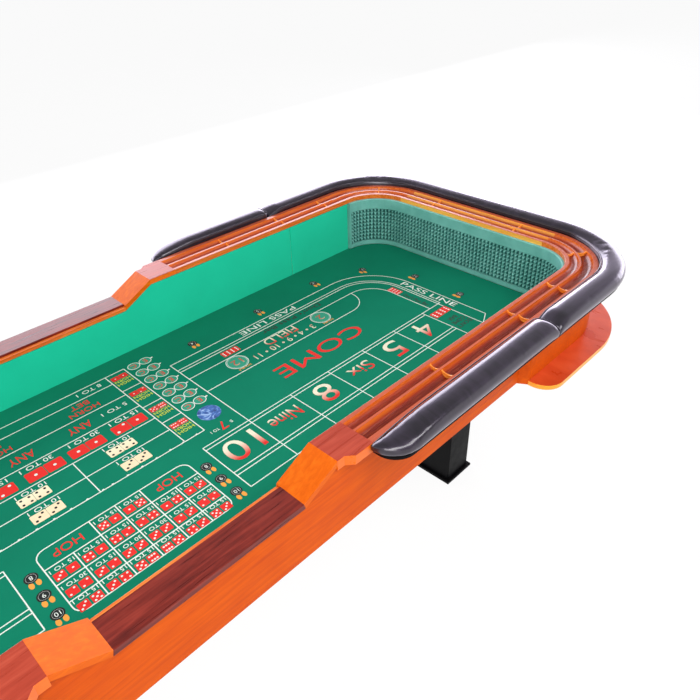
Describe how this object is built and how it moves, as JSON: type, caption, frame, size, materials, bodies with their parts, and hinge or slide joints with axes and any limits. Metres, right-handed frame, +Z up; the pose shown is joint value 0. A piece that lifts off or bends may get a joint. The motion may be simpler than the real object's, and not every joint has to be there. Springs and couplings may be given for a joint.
{
  "type": "craps table",
  "caption": "Long padded-wall dice table on two box pedestals, with a felt layout, timber chip rail, padded armrests and a drink shelf round each end.",
  "frame": {"origin": "on the floor, under the middle of the table", "axes": "+X along the table, +Y across it from the stick side to the base side, +Z up"},
  "size_m": [3.646, 1.36, 0.9611],
  "materials": {
    "rail_mahogany": "gloss varnish",
    "apron_veneer": "gloss varnish",
    "slope_veneer": "gloss varnish",
    "shelf_wood": "gloss varnish",
    "divider_wood": "gloss varnish",
    "structural_ply": "matt sealed",
    "black_board": "matt paint",
    "cushion_leather": "satin",
    "layout_felt": "matt",
    "wall_felt": "matt",
    "underlay_foam": "matt",
    "liner_rubber": "matt",
    "black_steel": "satin",
    "zinc_steel": "satin"
  },
  "bodies": {
    "root": {"apron_far": "apron_veneer", "apron_left": "apron_veneer", "apron_near": "apron_veneer", "apron_right": "apron_veneer", "armrest_boards": "black_board", "armrest_brackets": "zinc_steel", "armrest_cushion_end_left": "cushion_leather", "armrest_cushion_end_right": "cushion_leather", "armrest_cushion_far_left": "cushion_leather", "armrest_cushion_far_right": "cushion_leather", "armrest_cushion_near_left": "cushion_leather", "armrest_cushion_near_right": "cushion_leather", "base_plates": "black_steel", "chip_rail_dividers": "divider_wood", "chip_rail_far_left": "rail_mahogany", "chip_rail_far_right": "rail_mahogany", "chip_rail_near_left": "rail_mahogany", "chip_rail_near_right": "rail_mahogany", "corner_rail_far_left": "rail_mahogany", "corner_rail_far_right": "rail_mahogany", "corner_rail_near_left": "rail_mahogany", "corner_rail_near_right": "rail_mahogany", "cross_beams": "structural_ply", "deck_centre": "structural_ply", "deck_left": "structural_ply", "deck_right": "structural_ply", "drink_shelf_left": "shelf_wood", "drink_shelf_right": "shelf_wood", "end_module_rail_far_left": "rail_mahogany", "end_module_rail_far_right": "rail_mahogany", "end_module_rail_near_left": "rail_mahogany", "end_module_rail_near_right": "rail_mahogany", "end_rail_left": "rail_mahogany", "end_rail_right": "rail_mahogany", "end_wall_pads": "wall_felt", "frame_beams": "structural_ply", "layout_felt": "layout_felt", "low_cap_far": "rail_mahogany", "low_cap_near": "rail_mahogany", "low_trim_far": "rail_mahogany", "low_trim_near": "rail_mahogany", "pedestal_bolts": "zinc_steel", "pedestal_column_left": "black_steel", "pedestal_column_right": "black_steel", "pedestal_top_plates": "black_steel", "rail_block_far_left": "rail_mahogany", "rail_block_far_right": "rail_mahogany", "rail_block_near_left": "rail_mahogany", "rail_block_near_right": "rail_mahogany", "rubber_liner_left": "liner_rubber", "rubber_liner_right": "liner_rubber", "slope_caps_far": "slope_veneer", "slope_caps_near": "slope_veneer", "table_underlay": "underlay_foam", "wall_board_far": "structural_ply", "wall_board_left": "structural_ply", "wall_board_near": "structural_ply", "wall_board_right": "structural_ply", "wall_pad_far": "wall_felt", "wall_pad_near": "wall_felt"}
  },
  "joints": []
}
